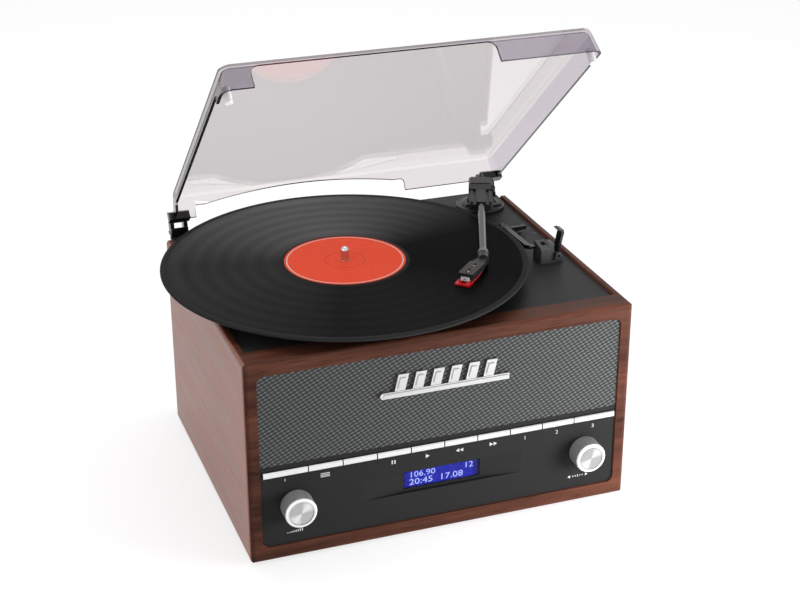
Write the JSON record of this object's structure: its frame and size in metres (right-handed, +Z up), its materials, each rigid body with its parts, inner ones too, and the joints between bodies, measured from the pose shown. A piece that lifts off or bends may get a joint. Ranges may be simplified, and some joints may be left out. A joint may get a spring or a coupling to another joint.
{
  "type": "stereo music centre",
  "caption": "Wood-cased stereo music centre: belt-drive record deck with tonearm and hinged smoked cover above a cloth grille, a key row, a display window and knurled knobs.",
  "frame": {"origin": "middle of the wooden case in plan, on the plane that the feet stand on", "axes": "+X to the right as seen from the front, +Y to the back, +Z up; the control panel faces -Y"},
  "size_m": [0.3475, 0.302, 0.3817],
  "materials": {
    "walnut": "dark brown stained veneer, satin lacquer",
    "board": "raw fibreboard",
    "black_plastic": "fine textured black",
    "gloss_black": "smooth black",
    "grey_plastic": "satin dark grey",
    "cloth": "woven dark speaker cloth",
    "silver_plastic": "satin silver paint",
    "knurled_metal": "fine fluted, satin",
    "spun_metal": "spun face with a bright edge",
    "steel": "bright turned",
    "dark_metal": "satin dark grey paint",
    "brass": "turned",
    "rubber": "soft black",
    "vinyl": "grooved gloss black",
    "label": "plain orange-red paper with a white ring",
    "platter_metal": "turned casting",
    "smoked": "clear smoked acrylic, polished",
    "clear": "clear soft buffer",
    "red_plastic": "translucent red",
    "grey_shell": "light grey",
    "window": "dark blue display window",
    "display": "lit blue display panel",
    "circuit": "green circuit board",
    "cone": "black paper cone"
  },
  "bodies": {
    "cabinet": {"wood_case": "walnut", "rear_cover": "black_plastic", "feet": "rubber", "case_screws": "steel", "deck_plate": "black_plastic", "speaker_baffle": "board", "grille_panel": "cloth", "trim_bar": "silver_plastic", "control_fascia": "black_plastic", "display_window": "window", "display_module": "display", "key_board": "circuit", "volume_pot": "steel", "tune_encoder": "steel", "main_board": "circuit", "speaker_baskets": "dark_metal", "speaker_cones": "cone", "drive_motor": "steel", "drive_belt": "rubber", "bearing_bush": "brass", "arm_plinth": "black_plastic", "arm_rest": "grey_plastic", "hinge_bases": "gloss_black", "hinge_pins": "steel", "rear_sockets": "steel", "power_inlet": "black_plastic"},
    "turntable": {"platter": "platter_metal", "slip_mat": "rubber", "spindle": "steel", "vinyl_record": "vinyl", "record_label": "label"},
    "pulley": {"motor_pulley": "brass"},
    "arm_yaw": {"arm_turret": "black_plastic"},
    "arm": {"arm_carrier": "black_plastic", "arm_tube": "dark_metal", "headshell": "black_plastic", "cartridge": "grey_shell", "stylus_guard": "red_plastic"},
    "cueing": {"cue_lever": "black_plastic"},
    "lifter": {"lift_platform": "black_plastic"},
    "clip": {"arm_clip": "gloss_black"},
    "selector": {"speed_selector": "black_plastic"},
    "cover": {"dust_cover": "smoked", "hinge_shoes": "gloss_black", "bumpers": "clear"},
    "volume": {"volume_knob": "knurled_metal", "volume_cap": "spun_metal"},
    "tune_axle": {"tune_shaft": "steel"},
    "tuner": {"tune_knob": "knurled_metal", "tune_cap": "spun_metal"},
    "button_1": {"key_1": "silver_plastic"},
    "button_2": {"key_2": "silver_plastic"},
    "button_3": {"key_3": "silver_plastic"},
    "button_4": {"key_4": "silver_plastic"},
    "button_5": {"key_5": "silver_plastic"},
    "button_6": {"key_6": "silver_plastic"},
    "button_7": {"key_7": "silver_plastic"},
    "button_8": {"key_8": "silver_plastic"},
    "button_9": {"key_9": "silver_plastic"},
    "button_10": {"key_10": "silver_plastic"}
  },
  "joints": [
    {"name": "cover_hinge", "type": "hinge", "parent": "cabinet", "child": "cover", "pos_m": [0, 0.145, 0.188], "axis": [1, 0, 0], "range_deg": [0, 41]},
    {"name": "platter_spin", "type": "hinge", "parent": "cabinet", "child": "turntable", "pos_m": [-0.0365, 0.0065, 0.18], "axis": [0, 0, 1], "continuous": true},
    {"name": "pulley_spin", "type": "hinge", "parent": "cabinet", "child": "pulley", "pos_m": [-0.10203, -0.03939, 0.175], "axis": [0, 0, 1], "continuous": true},
    {"name": "arm_swing", "type": "hinge", "parent": "cabinet", "child": "arm_yaw", "pos_m": [0.1275, 0.113, 0.19], "axis": [0, 0, 1], "range_deg": [-15.5, 25.7]},
    {"name": "arm_pitch", "type": "hinge", "parent": "arm_yaw", "child": "arm", "pos_m": [0.1275, 0.113, 0.19], "axis": [-0.9298, 0.3681, 0], "range_deg": [0, 1.2]},
    {"name": "cue_hinge", "type": "hinge", "parent": "cabinet", "child": "cueing", "pos_m": [0.12, 0.039, 0.1805], "axis": [-1, 0, 0], "range_deg": [0, 11]},
    {"name": "lift_slide", "type": "slide", "parent": "cabinet", "child": "lifter", "axis": [0, 0, 1], "range_m": [0, 0.000733]},
    {"name": "clip_hinge", "type": "hinge", "parent": "cabinet", "child": "clip", "pos_m": [0.14165, -0.01925, 0.1785], "axis": [0, -1, 0], "range_deg": [0, 12]},
    {"name": "speed_switch", "type": "hinge", "parent": "cabinet", "child": "selector", "pos_m": [0.1315, 0.044, 0.175], "axis": [0, 0, 1], "range_deg": [-20, 20]},
    {"name": "volume_turn", "type": "hinge", "parent": "cabinet", "child": "volume", "pos_m": [-0.1222, -0.135, 0.0495], "axis": [0, 1, 0], "range_deg": [-150, 150]},
    {"name": "tune_push", "type": "slide", "parent": "cabinet", "child": "tune_axle", "axis": [0, 1, 0], "range_m": [0, 0.0005], "stiffness_N_per_m": 600, "springref_m": -0.001},
    {"name": "tune_turn", "type": "hinge", "parent": "tune_axle", "child": "tuner", "pos_m": [0.1222, -0.135, 0.0495], "axis": [0, 1, 0], "continuous": true},
    {"name": "press_1", "type": "slide", "parent": "cabinet", "child": "button_1", "axis": [0, 1, 0], "range_m": [0, 0.0015], "stiffness_N_per_m": 300, "springref_m": -0.001},
    {"name": "press_2", "type": "slide", "parent": "cabinet", "child": "button_2", "axis": [0, 1, 0], "range_m": [0, 0.0015], "stiffness_N_per_m": 300, "springref_m": -0.001},
    {"name": "press_3", "type": "slide", "parent": "cabinet", "child": "button_3", "axis": [0, 1, 0], "range_m": [0, 0.0015], "stiffness_N_per_m": 300, "springref_m": -0.001},
    {"name": "press_4", "type": "slide", "parent": "cabinet", "child": "button_4", "axis": [0, 1, 0], "range_m": [0, 0.0015], "stiffness_N_per_m": 300, "springref_m": -0.001},
    {"name": "press_5", "type": "slide", "parent": "cabinet", "child": "button_5", "axis": [0, 1, 0], "range_m": [0, 0.0015], "stiffness_N_per_m": 300, "springref_m": -0.001},
    {"name": "press_6", "type": "slide", "parent": "cabinet", "child": "button_6", "axis": [0, 1, 0], "range_m": [0, 0.0015], "stiffness_N_per_m": 300, "springref_m": -0.001},
    {"name": "press_7", "type": "slide", "parent": "cabinet", "child": "button_7", "axis": [0, 1, 0], "range_m": [0, 0.0015], "stiffness_N_per_m": 300, "springref_m": -0.001},
    {"name": "press_8", "type": "slide", "parent": "cabinet", "child": "button_8", "axis": [0, 1, 0], "range_m": [0, 0.0015], "stiffness_N_per_m": 300, "springref_m": -0.001},
    {"name": "press_9", "type": "slide", "parent": "cabinet", "child": "button_9", "axis": [0, 1, 0], "range_m": [0, 0.0015], "stiffness_N_per_m": 300, "springref_m": -0.001},
    {"name": "press_10", "type": "slide", "parent": "cabinet", "child": "button_10", "axis": [0, 1, 0], "range_m": [0, 0.0015], "stiffness_N_per_m": 300, "springref_m": -0.001}
  ],
  "couplings": [
    {"joint": "pulley_spin", "follows": "platter_spin", "ratio": 12.4},
    {"joint": "cue_hinge", "follows": "arm_pitch", "ratio": 9.1667},
    {"joint": "lift_slide", "follows": "arm_pitch", "m_per_rad": 0.034998}
  ]
}
